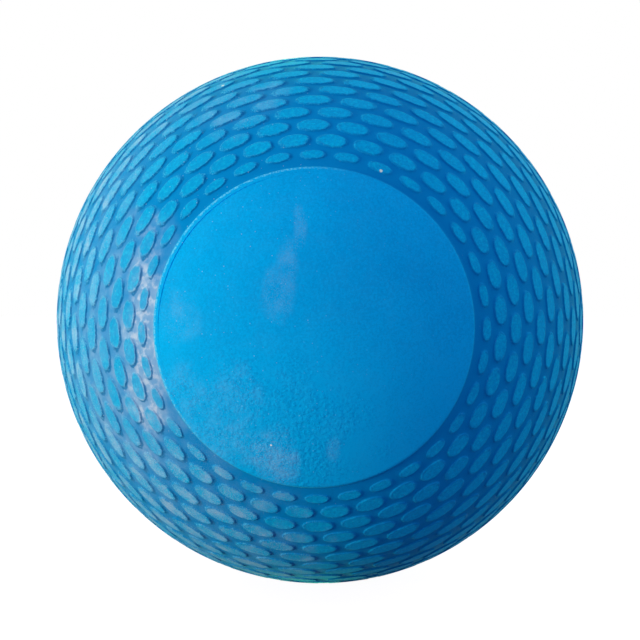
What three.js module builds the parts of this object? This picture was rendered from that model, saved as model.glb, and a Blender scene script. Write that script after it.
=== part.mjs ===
// Inflatable moulded rubber play ball: raised oval pebbles in staggered rows, and a smooth round panel at
// each pole. Millimetres, +Z up, with the origin at the ball's centre. The front panel faces -Y, and the
// needle valve sits in the middle of the rear panel, so the ball is round about the Y axis.
import * as THREE from "three";

// Ball
const BALL_DIAMETER = 216; // across the smooth panels and the pebble tops
const PANEL_DIAMETER = 110; // straight across a panel's rim
const PANEL_RIM_RUN = 1.5; // how far the rim slopes out on its way down to the groove floor

// Pebbles
const PEBBLE_HEIGHT = 0.8; // above the groove floor
const PEBBLES_PER_ROW = 32;
const ROWS_PER_HALF = 15; // from a panel to the equator
const ROW_GROOVE = 1.6; // between the tops of two rows
const END_GAP_SHARE = 0.25; // of a pebble's share of its row, left open between two ends
const SHOULDER_SHARE = 0.6; // of a pebble's length, along its straight sides
const FIRST_ROW_SHARE = 0.72; // pebbles beside a panel, against those of the other rows

// Walls, from the outside in
const COVER_WALL = 1; // least rubber under the grooves
const WINDING_WALL = 0.4;
const BLADDER_WALL = 0.5;
const LAYER_GAP = 0.3; // between one layer and the next
const SEAM_GAP = 0.3; // mould parting line at the equator

// Valve
const PATCH_DIAMETER = 44; // reinforcing patch inside the bladder
const PATCH_WALL = 1;
const FLANGE_DIAMETER = 30; // flange of the valve boot, inside the patch
const FLANGE_WALL = 1.2;
const BOOT_WALL = 1.3; // rubber round the core's head
const BOOT_TAIL = 1.2; // boot below the core's tip
const LIP_RECESS = 0.4; // the boot's lip and the core's face below the ball's surface
const CORE_LENGTH = 15;
const CORE_SHANK_DIAMETER = 5;
const CORE_HEAD_DIAMETER = 7;
const CORE_HEAD_WALL = 1.5;
const CORE_TIP_CHAMFER = 0.8;
const CORE_CLEARANCE = 0.2; // all round the core, and under its head
const NEEDLE_HOLE_DIAMETER = 2;
const NEEDLE_HOLE_DEPTH = 11;
const NEEDLE_LEAD_IN = 0.6; // chamfer at the mouth of the needle hole

// How finely the round faces are divided
const TURN_STEPS = 24; // about the Y axis, on the inner layers and the valve
const PANEL_RINGS = 4;
const VALVE_RINGS = 3; // from the valve hole to the edge of the patch
const REAR_RINGS = 6; // from the edge of the patch to the equator
const FRONT_RINGS = 7; // from the equator to the front pole

// Radius of each layer's faces
const SURFACE_RADIUS = BALL_DIAMETER / 2;
const FLOOR_RADIUS = SURFACE_RADIUS - PEBBLE_HEIGHT;
const COVER_INNER_RADIUS = FLOOR_RADIUS - COVER_WALL;
const WINDING_RADIUS = COVER_INNER_RADIUS - LAYER_GAP;
const BLADDER_RADIUS = WINDING_RADIUS - WINDING_WALL - LAYER_GAP;
const PATCH_RADIUS = BLADDER_RADIUS - BLADDER_WALL - LAYER_GAP;
const FLANGE_RADIUS = PATCH_RADIUS - PATCH_WALL - LAYER_GAP;

// Places along the valve's axis, and the radii that go through the layers
const LIP_Y = SURFACE_RADIUS - LIP_RECESS;
const HEAD_UNDERSIDE_Y = LIP_Y - CORE_HEAD_WALL;
const CORE_TIP_Y = LIP_Y - CORE_LENGTH;
const BOOT_END_Y = CORE_TIP_Y - BOOT_TAIL;
const HEAD_SEAT_RADIUS = CORE_HEAD_DIAMETER / 2 + CORE_CLEARANCE;
const NECK_RADIUS = HEAD_SEAT_RADIUS + BOOT_WALL;
const VALVE_HOLE_RADIUS = NECK_RADIUS + LAYER_GAP;

const FULL_TURN = 2 * Math.PI;
const EQUATOR = Math.PI / 2;

// Angle from the pole of a point at a given distance from the Y axis, on a sphere.
const polarAt = (radius, reach) => Math.asin(reach / radius);

// Angle from the pole of a half cover's edge, half the seam gap short of the equator.
const seamPolar = (radius) => Math.acos(SEAM_GAP / 2 / radius);

// A number of even steps from one value to another, without the first value.
const steps = (from, to, count) =>
  Array.from({ length: count }, (_, i) => from + ((to - from) * (i + 1)) / count);

// Rings that the inner layers share, as angles from the pole, so that their flat facets stay parallel.
const PATCH_POLAR = polarAt(PATCH_RADIUS, PATCH_DIAMETER / 2);
const VALVE_POLARS = steps(polarAt(FLANGE_RADIUS, VALVE_HOLE_RADIUS), PATCH_POLAR, VALVE_RINGS);
const REAR_POLARS = [...VALVE_POLARS, ...steps(PATCH_POLAR, EQUATOR, REAR_RINGS)];
const FRONT_POLARS = steps(0, EQUATOR, FRONT_RINGS);

// A closed surface joined ring by ring about the Y axis, with the pole at -Y. A walk over the rings runs
// along the outside to the rim and back along the inside, so every face points out of the rubber.
class Skin {
  points = [];
  faces = [];

  point(radius, polar, around) {
    const reach = radius * Math.sin(polar);
    this.points.push(reach * Math.cos(around), -radius * Math.cos(polar), reach * Math.sin(around));
    return this.points.length / 3 - 1;
  }

  // A pole is a ring of one point.
  ring(radius, polar, count) {
    const at = (i) => this.point(radius, polar, (i * FULL_TURN) / count);
    return Array.from({ length: count }, (_, i) => at(i));
  }

  // Joins two rings of any counts: each triangle moves on along the ring that lags behind.
  join(from, to) {
    let i = 0;
    let j = 0;
    while (i < from.length || j < to.length) {
      const near = from[i % from.length];
      const far = to[j % to.length];
      const alongFrom = (i + 1) / from.length <= (j + 1) / to.length;
      i += alongFrom ? 1 : 0;
      j += alongFrom ? 0 : 1;
      const next = alongFrom ? from[i % from.length] : to[j % to.length];
      if (next !== near && next !== far) this.faces.push(near, far, next);
    }
  }

  joinAll(rings) {
    rings.slice(1).forEach((ring, i) => this.join(rings[i], ring));
  }

  geometry() {
    const made = new THREE.BufferGeometry();
    made.setAttribute("position", new THREE.Float32BufferAttribute(this.points, 3));
    made.setIndex(this.faces);
    made.computeVertexNormals();
    return made;
  }
}

// One row of pebbles between two rings of the groove floor, which hold two points for each pebble. A pebble
// is a six-sided top on sloping walls, and odd rows are shifted by half a pebble.
function addPebbleRow(skin, low, high, lowPolar, highPolar, shift, share) {
  const pitch = FULL_TURN / PEBBLES_PER_ROW;
  const middle = (lowPolar + highPolar) / 2;
  const halfWidth = ((highPolar - lowPolar - ROW_GROOVE / SURFACE_RADIUS) / 2) * share;
  const halfLength = ((pitch * (1 - END_GAP_SHARE)) / 2) * share;
  const shoulder = halfLength * SHOULDER_SHARE;
  const outline = [
    [0, -halfLength],
    [halfWidth, -shoulder],
    [halfWidth, shoulder],
    [0, halfLength],
    [-halfWidth, shoulder],
    [-halfWidth, -shoulder],
  ];
  const count = low.length;
  for (let pebble = 0; pebble < PEBBLES_PER_ROW; pebble += 1) {
    const centre = 2 * pebble + shift;
    const around = (centre * FULL_TURN) / count;
    const [before, here, after] = [centre - 1, centre, centre + 1].map((i) => (i + count) % count);
    const edge = [low[before], high[before], high[here], high[after], low[after], low[here]];
    const top = outline.map(([p, a]) => skin.point(SURFACE_RADIUS, middle + p, around + a));
    top.forEach((corner, i) => {
      const next = (i + 1) % top.length;
      skin.faces.push(edge[i], edge[next], corner, edge[next], top[next], corner);
      if (i > 0 && next > 0) skin.faces.push(top[0], corner, top[next]);
    });
  }
}

// Half of the rubber cover, with its pole at -Y. A hole radius above zero opens the pole for the valve.
function halfCover(innerPolars, holeRadius, firstShift) {
  const skin = new Skin();
  const poleCount = holeRadius > 0 ? TURN_STEPS : 1;
  const rowPoints = 2 * PEBBLES_PER_ROW;

  // Panel, from the pole to its rim
  const rimPolar = polarAt(SURFACE_RADIUS, PANEL_DIAMETER / 2);
  const poleRing = skin.ring(SURFACE_RADIUS, polarAt(SURFACE_RADIUS, holeRadius), poleCount);
  const panelRings = steps(0, 1, PANEL_RINGS).map((share) =>
    skin.ring(SURFACE_RADIUS, rimPolar * share, Math.round(rowPoints * share)),
  );
  skin.joinAll([poleRing, ...panelRings]);

  // Pebbled band, from the foot of the rim to the seam
  const footPolar = rimPolar + PANEL_RIM_RUN / SURFACE_RADIUS;
  let lowPolar = footPolar;
  let low = skin.ring(FLOOR_RADIUS, footPolar, rowPoints);
  skin.join(panelRings.at(-1), low);
  steps(footPolar, seamPolar(FLOOR_RADIUS), ROWS_PER_HALF).forEach((highPolar, row) => {
    const high = skin.ring(FLOOR_RADIUS, highPolar, rowPoints);
    const share = row === 0 ? FIRST_ROW_SHARE : 1;
    addPebbleRow(skin, low, high, lowPolar, highPolar, (row + firstShift) % 2, share);
    lowPolar = highPolar;
    low = high;
  });

  // Inside, from the seam back to the pole
  const seamRing = skin.ring(COVER_INNER_RADIUS, seamPolar(COVER_INNER_RADIUS), TURN_STEPS);
  const innerRings = innerPolars
    .slice(0, -1)
    .map((polar) => skin.ring(COVER_INNER_RADIUS, polar, TURN_STEPS));
  const innerPole = skin.ring(COVER_INNER_RADIUS, polarAt(COVER_INNER_RADIUS, holeRadius), poleCount);
  skin.joinAll([low, seamRing, ...innerRings.reverse(), innerPole]);
  if (holeRadius > 0) skin.join(innerPole, poleRing);
  return skin.geometry();
}

// A point of a turned profile at a distance from the Y axis, on the rear side of a sphere.
const onSphere = (radius, reach) => new THREE.Vector2(reach, Math.sqrt(radius ** 2 - reach ** 2));

// A point of a turned profile at an angle from the rear pole.
const atPolar = (radius, polar) => new THREE.Vector2(radius * Math.sin(polar), radius * Math.cos(polar));

// Front pole of a sphere, set exactly on the axis.
const frontPole = (radius) => new THREE.Vector2(0, -radius);

const turned = (profile) => new THREE.LatheGeometry(profile, TURN_STEPS);

// A whole ball of one layer, open only where the valve goes through it.
function layerShell(radius, wall) {
  const frontRings = FRONT_POLARS.slice(0, -1).map((polar) => Math.PI - polar);
  const polars = [...REAR_POLARS, ...frontRings.reverse()];
  const face = (faceRadius) => [
    onSphere(faceRadius, VALVE_HOLE_RADIUS),
    ...polars.map((polar) => atPolar(faceRadius, polar)),
    frontPole(faceRadius),
  ];
  return turned([...face(radius).reverse(), ...face(radius - wall)]);
}

// Curved ring bonded inside the bladder, round the valve.
function valvePatch() {
  const face = (radius) => [
    onSphere(radius, VALVE_HOLE_RADIUS),
    ...VALVE_POLARS.map((polar) => atPolar(radius, polar)),
  ];
  const profile = [...face(PATCH_RADIUS - PATCH_WALL), ...face(PATCH_RADIUS).reverse()];
  return turned([...profile, profile[0]]);
}

// Soft housing of the valve: a neck through the layers, a flange on the patch and a stem round the core.
function valveBoot() {
  const boreRadius = CORE_SHANK_DIAMETER / 2 + CORE_CLEARANCE;
  const flangeInner = FLANGE_RADIUS - FLANGE_WALL;
  const seatY = HEAD_UNDERSIDE_Y - CORE_CLEARANCE;
  const profile = [
    new THREE.Vector2(boreRadius, BOOT_END_Y),
    new THREE.Vector2(NECK_RADIUS, BOOT_END_Y),
    onSphere(flangeInner, NECK_RADIUS),
    onSphere(flangeInner, FLANGE_DIAMETER / 2),
    onSphere(FLANGE_RADIUS, FLANGE_DIAMETER / 2),
    onSphere(FLANGE_RADIUS, NECK_RADIUS),
    new THREE.Vector2(NECK_RADIUS, LIP_Y),
    new THREE.Vector2(HEAD_SEAT_RADIUS, LIP_Y),
    new THREE.Vector2(HEAD_SEAT_RADIUS, seatY),
    new THREE.Vector2(boreRadius, seatY),
  ];
  return turned([...profile, profile[0]]);
}

// Removable plug that seals itself round the needle, with a blind hole to guide the needle in.
function valveCore() {
  const shankRadius = CORE_SHANK_DIAMETER / 2;
  const needleRadius = NEEDLE_HOLE_DIAMETER / 2;
  const needleEndY = LIP_Y - NEEDLE_HOLE_DEPTH;
  return turned([
    new THREE.Vector2(0, CORE_TIP_Y),
    new THREE.Vector2(shankRadius - CORE_TIP_CHAMFER, CORE_TIP_Y),
    new THREE.Vector2(shankRadius, CORE_TIP_Y + CORE_TIP_CHAMFER),
    new THREE.Vector2(shankRadius, HEAD_UNDERSIDE_Y),
    new THREE.Vector2(CORE_HEAD_DIAMETER / 2, HEAD_UNDERSIDE_Y),
    new THREE.Vector2(CORE_HEAD_DIAMETER / 2, LIP_Y),
    new THREE.Vector2(needleRadius + NEEDLE_LEAD_IN, LIP_Y),
    new THREE.Vector2(needleRadius, LIP_Y - NEEDLE_LEAD_IN),
    new THREE.Vector2(needleRadius, needleEndY),
    new THREE.Vector2(0, needleEndY),
  ]);
}

// Materials, by what each piece is made of
const coverRubber = new THREE.MeshStandardMaterial({ color: 0x0a8cca, roughness: 0.55, metalness: 0 });
const nylonThread = new THREE.MeshStandardMaterial({ color: 0xd9d4c4, roughness: 0.8, metalness: 0 });
const butylRubber = new THREE.MeshStandardMaterial({ color: 0x1d1e20, roughness: 0.5, metalness: 0 });
const bootRubber = new THREE.MeshStandardMaterial({ color: 0x26292c, roughness: 0.6, metalness: 0 });
const coreRubber = new THREE.MeshStandardMaterial({ color: 0x14171a, roughness: 0.45, metalness: 0 });

function namedMesh(name, geometry, material) {
  const mesh = new THREE.Mesh(geometry, material);
  mesh.name = name;
  return mesh;
}

// The rear half is the front half's shape turned about Z. Its rows start half a pebble on, so that the
// stagger runs on across the seam.
const frontCover = namedMesh("front_cover", halfCover(FRONT_POLARS, 0, 0), coverRubber);
const rearCover = namedMesh("rear_cover", halfCover(REAR_POLARS, VALVE_HOLE_RADIUS, 1), coverRubber);
rearCover.rotation.z = Math.PI;

const ball = new THREE.Group();
ball.add(
  frontCover,
  rearCover,
  namedMesh("winding", layerShell(WINDING_RADIUS, WINDING_WALL), nylonThread),
  namedMesh("bladder", layerShell(BLADDER_RADIUS, BLADDER_WALL), butylRubber),
  namedMesh("valve_patch", valvePatch(), butylRubber),
  namedMesh("valve_boot", valveBoot(), bootRubber),
  namedMesh("valve_core", valveCore(), coreRubber),
);

export default ball;
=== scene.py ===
import math

import bmesh
import bpy
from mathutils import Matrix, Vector, noise


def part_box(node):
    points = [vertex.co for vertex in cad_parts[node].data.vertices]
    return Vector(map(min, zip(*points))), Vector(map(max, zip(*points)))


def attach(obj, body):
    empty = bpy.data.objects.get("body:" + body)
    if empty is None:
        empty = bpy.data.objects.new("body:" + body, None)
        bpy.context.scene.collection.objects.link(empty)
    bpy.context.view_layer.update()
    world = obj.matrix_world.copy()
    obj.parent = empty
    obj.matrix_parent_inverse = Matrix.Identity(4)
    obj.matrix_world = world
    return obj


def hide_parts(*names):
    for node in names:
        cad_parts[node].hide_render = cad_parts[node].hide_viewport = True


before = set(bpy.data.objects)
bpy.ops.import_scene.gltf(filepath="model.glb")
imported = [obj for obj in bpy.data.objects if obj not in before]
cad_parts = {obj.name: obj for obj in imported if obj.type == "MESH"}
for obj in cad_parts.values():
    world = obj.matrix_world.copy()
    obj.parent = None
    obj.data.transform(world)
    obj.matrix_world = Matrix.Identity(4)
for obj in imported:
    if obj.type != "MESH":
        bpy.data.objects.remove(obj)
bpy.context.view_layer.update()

# Bladder
# The thin bag that holds the air: black butyl rubber, cured on a former in one piece and dusted with
# talc so that it doesn't stick to itself. Its mouth, at the back, fits round the neck of the valve.
BLADDER_RADIUS = -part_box("bladder")[0].y
BLADDER_WALL = 0.0005
LAYER_GAP = 0.0003
VALVE_HOLE_RADIUS = 0.0053
LAYER_SEGMENTS = 96
LAYER_RINGS = 64
MM_PER_M = 1000
BUTYL_BLACK = (0.012, 0.013, 0.014, 1)
TALC_GREY = (0.24, 0.24, 0.23, 1)
TALC_PATCH_MM = 18
TALC_ENDS = (0.4, 0.7)
TALC_GRAIN_MM = 0.7
TALC_SHARE = 0.35
BUTYL_ROUGHNESS = 0.42
TALC_ROUGHNESS = 0.3
BUTYL_GRAIN_MM = 0.5
BUTYL_BUMP = 0.15
BUMP_HEIGHT = 0.0001
SMOOTH_ANGLE = math.radians(50)
MERGE_DISTANCE = 1e-6
VALVE_AXIS = (0, 1, 0)
POLES_ON_AXIS = (math.pi / 2, 0, 0)
# How many layers, each finer than the last, the noise of a soft pattern has
SOFT_DETAIL = 2
# The sockets of a node that mixes colours
MIX_SHARE, MIX_UNDER, MIX_OVER, MIX_RESULT = 0, 6, 7, 2


class Shade:
    """A shader socket that takes part in sums: each operator adds a Math node."""

    def __init__(self, finish, socket):
        self.finish = finish
        self.socket = socket

    def maths(self, operation, *values):
        return self.finish.node("ShaderNodeMath", {"operation": operation}, dict(enumerate(values)))

    def __add__(self, other):
        return self.maths("ADD", self, other)

    def __sub__(self, other):
        return self.maths("SUBTRACT", self, other)

    def __rsub__(self, other):
        return self.maths("SUBTRACT", other, self)

    def __mul__(self, other):
        return self.maths("MULTIPLY", self, other)

    def __truediv__(self, other):
        return self.maths("DIVIDE", self, other)

    def __rtruediv__(self, other):
        return self.maths("DIVIDE", other, self)

    def __abs__(self):
        return self.maths("ABSOLUTE", self)

    __radd__ = __add__
    __rmul__ = __mul__


class Finish:
    """The nodes of one material, or of the world. node() adds any node and returns one of its outputs."""

    def __init__(self, owner):
        owner.use_nodes = True
        self.owner = owner
        self.tree = owner.node_tree

    def node(self, kind, settings=None, sockets=None, output=0):
        made = self.tree.nodes.new(kind)
        for name, value in (settings or {}).items():
            setattr(made, name, value)
        for name, value in (sockets or {}).items():
            self.feed(made.inputs[name], value)
        return Shade(self, made.outputs[output])

    def feed(self, socket, value):
        if isinstance(value, Shade):
            self.tree.links.new(value.socket, socket)
        else:
            socket.default_value = value

    def surface(self, **values):
        for name, value in values.items():
            self.feed(self.tree.nodes["Principled BSDF"].inputs[name.replace("_", " ")], value)

    def place(self):
        """Where a point is on the object, in millimetres."""
        metres = self.node("ShaderNodeTexCoord", output="Object")
        return self.node("ShaderNodeVectorMath", {"operation": "SCALE"}, {0: metres, "Scale": MM_PER_M})

    def noise(self, place, size, detail=SOFT_DETAIL):
        return self.node("ShaderNodeTexNoise", {}, {"Vector": place, "Scale": 1 / size, "Detail": detail})

    def band(self, value, low, high):
        """0 at low and 1 at high, smooth between them; low may be the larger."""
        ends = {"Value": value, "From Min": low, "From Max": high}
        return self.node("ShaderNodeMapRange", {"interpolation_type": "SMOOTHSTEP"}, ends)

    def patches(self, place, size, ends, detail=SOFT_DETAIL):
        """Noise as patches with soft edges: each starts at one end of the noise and is full at the other."""
        return self.band(self.noise(place, size, detail), *ends)

    def blend(self, share, under, over):
        sockets = {MIX_SHARE: share, MIX_UNDER: under, MIX_OVER: over}
        return self.node("ShaderNodeMix", {"data_type": "RGBA"}, sockets, MIX_RESULT)

    def bump(self, height, strength):
        sockets = {"Height": height, "Strength": strength, "Distance": BUMP_HEIGHT}
        return self.node("ShaderNodeBump", {}, sockets)


def new_finish(name):
    return Finish(bpy.data.materials.new(name))


def open_new(name):
    """Names the primitive just added, puts its place in its mesh and opens it in edit mode."""
    piece = bpy.context.active_object
    piece.name = name
    bpy.ops.object.transform_apply(location=True, rotation=True, scale=True)
    bpy.ops.object.mode_set(mode="EDIT")
    return piece


def add_sphere(name, radius, segments, rings):
    """A sphere with its poles on the valve's axis, open in edit mode."""
    bpy.ops.object.select_all(action="DESELECT")
    bpy.ops.mesh.primitive_uv_sphere_add(
        segments=segments, ring_count=rings, radius=radius, rotation=POLES_ON_AXIS
    )
    return open_new(name)


def close_piece(piece):
    """Merges doubles, turns the faces outwards and leaves edit mode with the curved faces smooth."""
    bpy.ops.mesh.select_all(action="SELECT")
    bpy.ops.mesh.remove_doubles(threshold=MERGE_DISTANCE)
    bpy.ops.mesh.normals_make_consistent(inside=False)
    bpy.ops.object.mode_set(mode="OBJECT")
    bpy.ops.object.shade_smooth_by_angle(angle=SMOOTH_ANGLE)
    return piece


def layer_shell(name, radius, wall):
    """A round layer with a mouth at the back for the valve, its wall grown inwards."""
    piece = add_sphere(name, radius, LAYER_SEGMENTS, LAYER_RINGS)
    mouth = (0, math.sqrt(radius**2 - VALVE_HOLE_RADIUS**2), 0)
    bpy.ops.mesh.select_all(action="SELECT")
    bpy.ops.mesh.bisect(plane_co=mouth, plane_no=VALVE_AXIS, clear_outer=True)
    close_piece(piece)
    bpy.ops.object.modifier_add(type="SOLIDIFY")
    piece.modifiers[-1].thickness = wall
    piece.modifiers[-1].offset = -1
    bpy.ops.object.modifier_apply(modifier=piece.modifiers[-1].name)
    return piece


butyl = new_finish("talced_butyl")
butyl_place = butyl.place()
talc = butyl.patches(butyl_place, TALC_PATCH_MM, TALC_ENDS)
talc = talc * butyl.noise(butyl_place, TALC_GRAIN_MM) * TALC_SHARE
butyl_grain = butyl.noise(butyl_place, BUTYL_GRAIN_MM)
butyl.surface(
    Base_Color=butyl.blend(talc, BUTYL_BLACK, TALC_GREY),
    Roughness=talc * TALC_ROUGHNESS + BUTYL_ROUGHNESS,
    Normal=butyl.bump(butyl_grain, BUTYL_BUMP),
)

bladder = layer_shell("bladder_bag", BLADDER_RADIUS, BLADDER_WALL)
bladder.data.materials.append(butyl.owner)
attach(bladder, "ball")
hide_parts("bladder")

# Valve patch
# A ring of the same butyl, cut from sheet with a feathered edge and bonded inside the bladder round the
# valve, where it spreads the pull of the flange.
PATCH_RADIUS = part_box("valve_patch")[1].x
PATCH_OUTER_SPHERE = BLADDER_RADIUS - BLADDER_WALL - LAYER_GAP
PATCH_WALL = 0.001
PATCH_FEATHER = 0.003
PATCH_FEATHERED_WALL = 0.0003
PATCH_ARC_STEPS = 6
VALVE_SEGMENTS = 64


def arc(sphere_radius, first, last, steps):
    """Points of an outline on a sphere, from one distance off the axis to another."""
    reaches = [first + (last - first) * step / steps for step in range(steps + 1)]
    return [(reach, math.sqrt(sphere_radius**2 - reach**2)) for reach in reaches]


def draw_ring(piece, radius, height):
    """Extrudes the selected ring of edges to a new radius and place on the valve's axis."""
    bpy.ops.mesh.extrude_region()
    mesh = bmesh.from_edit_mesh(piece.data)
    for point in mesh.verts:
        if point.select:
            turn = math.atan2(point.co.z, point.co.x)
            point.co = (radius * math.cos(turn), height, radius * math.sin(turn))
    bmesh.update_edit_mesh(piece.data)


def turned(name, outline):
    """Draws a ring along a closed outline of (radius, height) points round the valve's axis."""
    bpy.ops.object.select_all(action="DESELECT")
    bpy.ops.mesh.primitive_circle_add(
        vertices=VALVE_SEGMENTS,
        radius=outline[0][0],
        location=(0, outline[0][1], 0),
        rotation=POLES_ON_AXIS,
    )
    piece = open_new(name)
    bpy.ops.mesh.select_all(action="SELECT")
    for radius, height in outline[1:] + outline[:1]:
        draw_ring(piece, radius, height)
    return close_piece(piece)


patch_full_edge = PATCH_RADIUS - PATCH_FEATHER
patch = turned(
    "valve_ring",
    arc(PATCH_OUTER_SPHERE, VALVE_HOLE_RADIUS, PATCH_RADIUS, PATCH_ARC_STEPS)
    + arc(PATCH_OUTER_SPHERE - PATCH_FEATHERED_WALL, PATCH_RADIUS, PATCH_RADIUS, 1)[:1]
    + arc(PATCH_OUTER_SPHERE - PATCH_WALL, patch_full_edge, VALVE_HOLE_RADIUS, PATCH_ARC_STEPS),
)
patch.data.materials.append(butyl.owner)
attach(patch, "ball")
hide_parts("valve_patch")

# Valve boot
# The soft housing of the valve, moulded in one piece of black rubber: a neck through the layers, a flange
# bonded to the patch and a stem that grips the core. Its lip is the black ring in the rear panel.
LIP_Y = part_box("valve_boot")[1].y
BOOT_END_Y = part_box("valve_boot")[0].y
FLANGE_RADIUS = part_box("valve_boot")[1].x
FLANGE_OUTER_SPHERE = PATCH_OUTER_SPHERE - PATCH_WALL - LAYER_GAP
FLANGE_WALL = 0.0012
FLANGE_ARC_STEPS = 4
NECK_RADIUS = VALVE_HOLE_RADIUS - LAYER_GAP
CORE_CLEARANCE = 0.0002
CORE_HEAD_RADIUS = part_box("valve_core")[1].x
CORE_HEAD_WALL = 0.0015
CORE_SHANK_RADIUS = 0.0025
LIP_ROUND = 0.00025
STEM_ROUND = 0.0006
STEM_RIBS = 3
STEM_RIB_HEIGHT = 0.0003
STEM_RIB_WIDTH = 0.0011
STEM_RIB_CREST = STEM_RIB_WIDTH / 2
RUBBER_BLACK = (0.018, 0.019, 0.021, 1)
RUBBER_SCUFF = (0.055, 0.057, 0.06, 1)
SCUFF_PATCH_MM = 2.2
SCUFF_ENDS = (0.45, 0.75)
SCUFF_SHARE = 0.6
BOOT_ROUGHNESS = 0.55
BOOT_ROUGHNESS_SPREAD = 0.2
BOOT_GRAIN_MM = 0.22
BOOT_BUMP = 0.25
# In the same way, the layers of a finely broken pattern
FINE_DETAIL = 4

boot_rubber = new_finish("matt_black_rubber")
boot_place = boot_rubber.place()
scuff = boot_rubber.patches(boot_place, SCUFF_PATCH_MM, SCUFF_ENDS, FINE_DETAIL)
boot_grain = boot_rubber.noise(boot_place, BOOT_GRAIN_MM)
boot_rubber.surface(
    Base_Color=boot_rubber.blend(scuff * SCUFF_SHARE, RUBBER_BLACK, RUBBER_SCUFF),
    Roughness=boot_grain * BOOT_ROUGHNESS_SPREAD + BOOT_ROUGHNESS,
    Normal=boot_rubber.bump(boot_grain, BOOT_BUMP),
)

bore_radius = CORE_SHANK_RADIUS + CORE_CLEARANCE
seat_radius = CORE_HEAD_RADIUS + CORE_CLEARANCE
seat_y = LIP_Y - CORE_HEAD_WALL - CORE_CLEARANCE
stem_outline = [
    (bore_radius, BOOT_END_Y),
    (NECK_RADIUS - STEM_ROUND - STEM_RIB_HEIGHT, BOOT_END_Y),
    (NECK_RADIUS - STEM_RIB_HEIGHT, BOOT_END_Y + STEM_ROUND),
]
stem_top = math.sqrt((FLANGE_OUTER_SPHERE - FLANGE_WALL) ** 2 - NECK_RADIUS**2)
rib_pitch = (stem_top - BOOT_END_Y - STEM_ROUND) / (STEM_RIBS + 1)
for rib in range(STEM_RIBS):
    rib_y = BOOT_END_Y + STEM_ROUND + rib_pitch * (rib + 1)
    stem_outline += [
        (NECK_RADIUS - STEM_RIB_HEIGHT, rib_y - STEM_RIB_WIDTH / 2),
        (NECK_RADIUS, rib_y - STEM_RIB_CREST / 2),
        (NECK_RADIUS, rib_y + STEM_RIB_CREST / 2),
        (NECK_RADIUS - STEM_RIB_HEIGHT, rib_y + STEM_RIB_WIDTH / 2),
    ]
boot = turned(
    "valve_housing",
    stem_outline
    + arc(FLANGE_OUTER_SPHERE - FLANGE_WALL, NECK_RADIUS, FLANGE_RADIUS, FLANGE_ARC_STEPS)
    + arc(FLANGE_OUTER_SPHERE, FLANGE_RADIUS, NECK_RADIUS, FLANGE_ARC_STEPS)
    + [
        (NECK_RADIUS, LIP_Y - LIP_ROUND),
        (NECK_RADIUS - LIP_ROUND, LIP_Y),
        (seat_radius + LIP_ROUND, LIP_Y),
        (seat_radius, LIP_Y - LIP_ROUND),
        (seat_radius, seat_y),
        (bore_radius, seat_y),
    ],
)
boot.data.materials.append(boot_rubber.owner)
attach(boot, "ball")
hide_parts("valve_boot")

# Valve core
# The plug that seals itself round the inflating needle: a round head and a shank with two sealing beads,
# moulded in a softer, shinier black rubber and pushed into the boot by hand.
CORE_TIP_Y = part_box("valve_core")[0].y
CORE_HEAD_ROUND = 0.0003
CORE_HEAD_CORNER = CORE_HEAD_ROUND / 3
CORE_TIP_CHAMFER = 0.0008
CORE_BEADS = 2
CORE_BEAD_HEIGHT = 0.00014
CORE_BEAD_WIDTH = 0.0008
CORE_BEAD_CREST = CORE_BEAD_WIDTH / 3
NEEDLE_HOLE_RADIUS = 0.001
NEEDLE_HOLE_DEPTH = 0.011
NEEDLE_LEAD_IN = 0.0006
# So near the axis, a ring is as good as closed
AXIS_RADIUS = 1e-5
CORE_BLACK = (0.008, 0.009, 0.010, 1)
CORE_BLOOM = (0.05, 0.055, 0.06, 1)
CORE_BLOOM_PATCH_MM = 1.6
CORE_BLOOM_ENDS = (0.5, 0.8)
CORE_BLOOM_SHARE = 0.4
CORE_ROUGHNESS = 0.34
CORE_ROUGHNESS_SPREAD = 0.16
CORE_GRAIN_MM = 0.3
CORE_BUMP = 0.1
# In the same way, the layers of a coarsely broken pattern
BROKEN_DETAIL = 3

core_rubber = new_finish("satin_black_rubber")
core_place = core_rubber.place()
core_bloom = core_rubber.patches(core_place, CORE_BLOOM_PATCH_MM, CORE_BLOOM_ENDS, BROKEN_DETAIL)
core_grain = core_rubber.noise(core_place, CORE_GRAIN_MM)
core_rubber.surface(
    Base_Color=core_rubber.blend(core_bloom * CORE_BLOOM_SHARE, CORE_BLACK, CORE_BLOOM),
    Roughness=core_grain * CORE_ROUGHNESS_SPREAD + CORE_ROUGHNESS,
    Normal=core_rubber.bump(core_grain, CORE_BUMP),
)

head_underside_y = LIP_Y - CORE_HEAD_WALL
core_outline = [
    (AXIS_RADIUS, CORE_TIP_Y),
    (CORE_SHANK_RADIUS - CORE_TIP_CHAMFER, CORE_TIP_Y),
    (CORE_SHANK_RADIUS, CORE_TIP_Y + CORE_TIP_CHAMFER),
]
bead_pitch = (head_underside_y - CORE_TIP_Y - CORE_TIP_CHAMFER) / (CORE_BEADS + 1)
for bead in range(CORE_BEADS):
    bead_y = CORE_TIP_Y + CORE_TIP_CHAMFER + bead_pitch * (bead + 1)
    core_outline += [
        (CORE_SHANK_RADIUS, bead_y - CORE_BEAD_WIDTH / 2),
        (CORE_SHANK_RADIUS + CORE_BEAD_HEIGHT, bead_y - CORE_BEAD_CREST / 2),
        (CORE_SHANK_RADIUS + CORE_BEAD_HEIGHT, bead_y + CORE_BEAD_CREST / 2),
        (CORE_SHANK_RADIUS, bead_y + CORE_BEAD_WIDTH / 2),
    ]
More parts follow.
